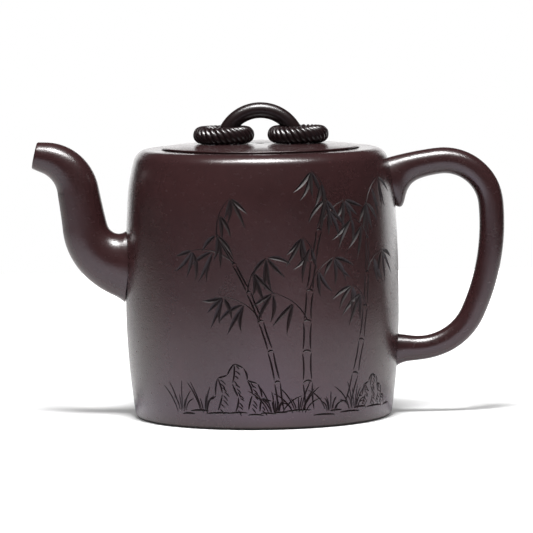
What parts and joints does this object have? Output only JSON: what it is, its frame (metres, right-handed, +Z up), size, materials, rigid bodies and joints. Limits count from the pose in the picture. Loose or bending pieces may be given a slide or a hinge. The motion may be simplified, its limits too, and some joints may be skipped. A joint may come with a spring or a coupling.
{
  "type": "clay teapot",
  "caption": "Slab-built clay teapot with a curved hollow spout, an ear handle and an inset lid whose bridge knob carries loose rope-twist rings.",
  "frame": {"origin": "centre of the base, on the plane that the pot stands on", "axes": "+Z up along the pot's axis, -X towards the spout, +X towards the handle, -Y towards the viewer of the picture"},
  "size_m": [0.1577, 0.0912, 0.1049],
  "materials": {
    "purple_clay": "unglazed, burnished satin"
  },
  "bodies": {
    "pot": {"base_disc": "purple_clay", "body_wall": "purple_clay", "shoulder_plate": "purple_clay", "lid_seat_ring": "purple_clay", "spout": "purple_clay", "spout_strainer": "purple_clay", "handle": "purple_clay"},
    "lid": {"lid_plate": "purple_clay", "lid_flange": "purple_clay", "knob_bridge": "purple_clay"},
    "left_ring": {"left_rope_ring": "purple_clay"},
    "right_ring": {"right_rope_ring": "purple_clay"}
  },
  "joints": [
    {"name": "lid_lift", "type": "slide", "parent": "pot", "child": "lid", "axis": [0, 0, 1], "range_m": [0, 0.06]},
    {"name": "left_ring_swing", "type": "hinge", "parent": "lid", "child": "left_ring", "pos_m": [0, 0, 0.08945], "axis": [0, 1, 0], "range_deg": [0, 22]},
    {"name": "right_ring_swing", "type": "hinge", "parent": "lid", "child": "right_ring", "pos_m": [0, 0, 0.08945], "axis": [0, -1, 0], "range_deg": [0, 22]}
  ]
}
